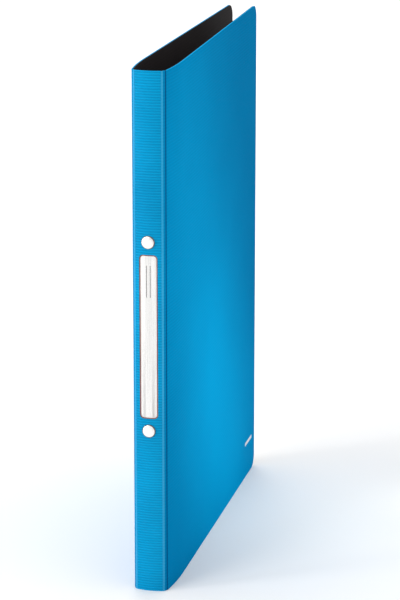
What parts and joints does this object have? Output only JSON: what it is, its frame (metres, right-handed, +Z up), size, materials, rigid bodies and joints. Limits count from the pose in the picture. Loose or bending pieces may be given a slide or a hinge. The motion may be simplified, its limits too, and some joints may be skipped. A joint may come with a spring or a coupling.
{
  "type": "slim two-ring binder",
  "caption": "Slim upright A4 ring binder: two-layer plastic spine and covers folding at creased hinges, spine label window, riveted ring mechanism with end levers.",
  "frame": {"origin": "middle of the base, on the surface that the closed binder stands on", "axes": "+Z up along the spine, -Y out of the spine, +X out of the front cover"},
  "size_m": [0.024, 0.24, 0.314],
  "materials": {
    "blue_polypropylene": "satin, finely ribbed",
    "black_polypropylene": "matt",
    "label_card_paper": "smooth card",
    "clear_film": "clear gloss film",
    "nickel_plated_rivet": "bright nickel plate",
    "nickel_plated_wire": "nickel plate",
    "zinc_plated_steel": "zinc plate",
    "black_moulded_plastic": "moulded"
  },
  "bodies": {
    "spine": {"spine_skin": "blue_polypropylene", "spine_lining": "black_polypropylene", "label_card": "label_card_paper", "label_window": "clear_film", "rivet_upper": "nickel_plated_rivet", "rivet_lower": "nickel_plated_rivet", "mount_post_upper": "zinc_plated_steel", "mount_post_lower": "zinc_plated_steel", "ring_housing": "nickel_plated_wire", "lever_pin_upper": "zinc_plated_steel", "lever_pin_lower": "zinc_plated_steel"},
    "front_hinge": {"front_hinge_skin": "blue_polypropylene", "front_hinge_lining": "black_polypropylene"},
    "front_cover": {"front_cover_skin": "blue_polypropylene", "front_cover_lining": "black_polypropylene"},
    "back_hinge": {"back_hinge_skin": "blue_polypropylene", "back_hinge_lining": "black_polypropylene"},
    "back_cover": {"back_cover_skin": "blue_polypropylene", "back_cover_lining": "black_polypropylene"},
    "left_plate": {"hinge_plate_left": "zinc_plated_steel", "ring_upper_left": "nickel_plated_wire", "ring_lower_left": "nickel_plated_wire"},
    "right_plate": {"hinge_plate_right": "zinc_plated_steel", "ring_upper_right": "nickel_plated_wire", "ring_lower_right": "nickel_plated_wire"},
    "upper_lever": {"lever_upper": "zinc_plated_steel", "lever_pad_upper": "black_moulded_plastic"},
    "lower_lever": {"lever_lower": "zinc_plated_steel", "lever_pad_lower": "black_moulded_plastic"}
  },
  "joints": [
    {"name": "front_spine_crease", "type": "hinge", "parent": "spine", "child": "front_hinge", "pos_m": [0.00805, -0.1173, 0.157], "axis": [0, 0, -1], "range_deg": [0, 90]},
    {"name": "front_cover_crease", "type": "hinge", "parent": "front_hinge", "child": "front_cover", "pos_m": [0.0096, -0.11546, 0.157], "axis": [0, 0, -1], "range_deg": [0, 90]},
    {"name": "back_spine_crease", "type": "hinge", "parent": "spine", "child": "back_hinge", "pos_m": [-0.00805, -0.1173, 0.157], "axis": [0, 0, 1], "range_deg": [0, 90]},
    {"name": "back_cover_crease", "type": "hinge", "parent": "back_hinge", "child": "back_cover", "pos_m": [-0.0096, -0.11546, 0.157], "axis": [0, 0, 1], "range_deg": [0, 90]},
    {"name": "left_rings_open", "type": "hinge", "parent": "spine", "child": "left_plate", "pos_m": [-0.00595, -0.11547, 0.157], "axis": [0, 0, 1], "range_deg": [0, 12]},
    {"name": "right_rings_open", "type": "hinge", "parent": "spine", "child": "right_plate", "pos_m": [0.00595, -0.11547, 0.157], "axis": [0, 0, -1], "range_deg": [0, 12]},
    {"name": "upper_lever_press", "type": "hinge", "parent": "spine", "child": "upper_lever", "pos_m": [0, -0.11457, 0.2295], "axis": [1, 0, 0], "range_deg": [0, 18.01]},
    {"name": "lower_lever_press", "type": "hinge", "parent": "spine", "child": "lower_lever", "pos_m": [0, -0.11457, 0.0845], "axis": [-1, 0, 0], "range_deg": [0, 18.01]}
  ],
  "couplings": [
    {"joint": "front_spine_crease", "follows": "front_cover_crease", "ratio": 1},
    {"joint": "back_spine_crease", "follows": "back_cover_crease", "ratio": 1},
    {"joint": "right_rings_open", "follows": "left_rings_open", "ratio": 1},
    {"joint": "upper_lever_press", "follows": "left_rings_open", "ratio": 1.5},
    {"joint": "lower_lever_press", "follows": "left_rings_open", "ratio": 1.5}
  ]
}
